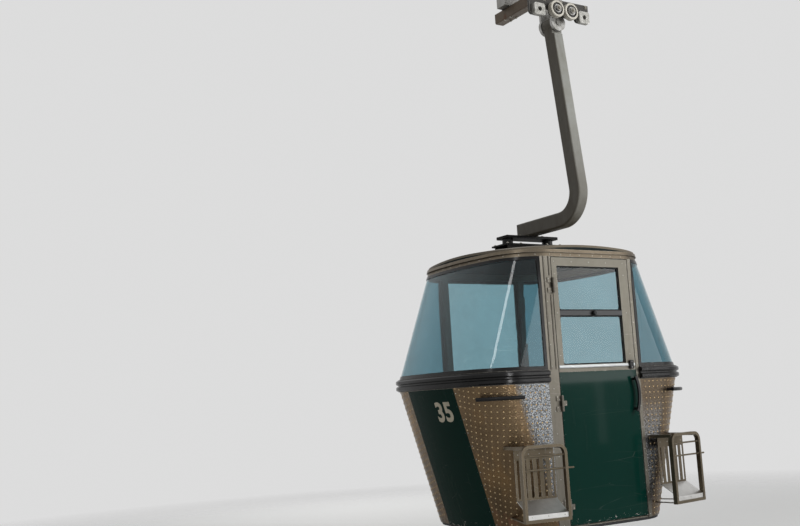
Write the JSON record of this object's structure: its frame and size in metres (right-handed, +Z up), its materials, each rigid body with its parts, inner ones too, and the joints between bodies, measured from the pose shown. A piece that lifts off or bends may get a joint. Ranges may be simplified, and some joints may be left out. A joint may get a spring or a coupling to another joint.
{
  "type": "cable car cabin",
  "caption": "Detachable gondola cabin with wrap-round windows, a hinged door, ski racks and a bent hanger arm on a rope grip.",
  "frame": {"origin": "centre of the rope in the grip's jaws", "axes": "+X along the rope in the direction of travel, -Y towards the side with the door, +Z up"},
  "size_m": [2.0136, 1.4818, 4.105],
  "materials": {
    "green_paint": "deep green enamel, scuffed",
    "panel_aluminium": "dimpled sheet, worn",
    "trim_aluminium": "satin, dull",
    "acrylic": "blue-green tinted acrylic",
    "rubber": "black, matt",
    "hanger_paint": "light grey-green paint, worn",
    "grip_steel": "bare, greasy",
    "black_paint": "black enamel",
    "seat_vinyl": "dark vinyl",
    "bench_board": "varnished board",
    "floor_mat": "ribbed mat",
    "roof_paint": "pale grey paint",
    "rack_aluminium": "worn",
    "wheel_polymer": "dark tread"
  },
  "bodies": {
    "grip": {"grip_beam": "grip_steel", "fixed_jaw": "grip_steel", "grip_pins": "grip_steel", "spring_pot": "grip_steel", "wheel_carrier": "grip_steel", "wheel_axles": "grip_steel"},
    "jaw": {"moving_jaw": "grip_steel", "lever_roller": "wheel_polymer"},
    "rear_wheel": {"rear_running_wheel": "wheel_polymer"},
    "front_wheel": {"front_running_wheel": "wheel_polymer"},
    "cabin": {"rear_stripe_panel": "green_paint", "front_stripe_panel": "green_paint", "far_side_panel": "green_paint", "keel_skid": "green_paint", "rear_door_side_panel": "panel_aluminium", "front_door_side_panel": "panel_aluminium", "rear_far_side_panel": "panel_aluminium", "front_far_side_panel": "panel_aluminium", "belt_rail": "trim_aluminium", "hinge_post": "trim_aluminium", "latch_post": "trim_aluminium", "far_side_posts": "trim_aluminium", "roof_rim": "trim_aluminium", "door_sill": "trim_aluminium", "rear_window": "acrylic", "front_window": "acrylic", "far_side_window": "acrylic", "window_seals": "rubber", "rear_bumper": "rubber", "front_bumper": "rubber", "rubber_buffers": "rubber", "roof_shell": "roof_paint", "floor": "floor_mat", "seats": "bench_board", "backrests": "seat_vinyl", "seat_skirts": "trim_aluminium", "grab_handles": "black_paint", "post_hinges": "trim_aluminium", "rear_rack_frame": "rack_aluminium", "front_rack_frame": "rack_aluminium", "rack_slats": "rack_aluminium", "rack_trays": "rack_aluminium", "hanger_arm": "hanger_paint", "suspension_crosshead": "grip_steel", "roof_bracket": "grip_steel"},
    "door": {"door_panel": "green_paint", "door_window_frame": "trim_aluminium", "door_glass": "acrylic", "door_knob": "black_paint", "door_catch": "black_paint", "door_lever": "black_paint", "door_hinges": "trim_aluminium"}
  },
  "joints": [
    {"name": "hanger_swing", "type": "hinge", "parent": "grip", "child": "cabin", "pos_m": [0, -0.47, -0.422], "axis": [0, 1, 0], "range_deg": [-35, 35]},
    {"name": "door_hinge", "type": "hinge", "parent": "cabin", "child": "door", "pos_m": [-0.323, -0.644, -2.95], "axis": [0, 0, -1], "range_deg": [0, 90]},
    {"name": "jaw_pivot", "type": "hinge", "parent": "grip", "child": "jaw", "pos_m": [0, -0.086, -0.014], "axis": [1, 0, 0], "range_deg": [0, 14], "stiffness_Nm_per_rad": 400, "springref_deg": -8.59},
    {"name": "rear_wheel_spin", "type": "hinge", "parent": "grip", "child": "rear_wheel", "pos_m": [-0.066, -0.605, -0.356], "axis": [0, 1, 0], "continuous": true},
    {"name": "front_wheel_spin", "type": "hinge", "parent": "grip", "child": "front_wheel", "pos_m": [0.066, -0.605, -0.356], "axis": [0, 1, 0], "continuous": true}
  ]
}
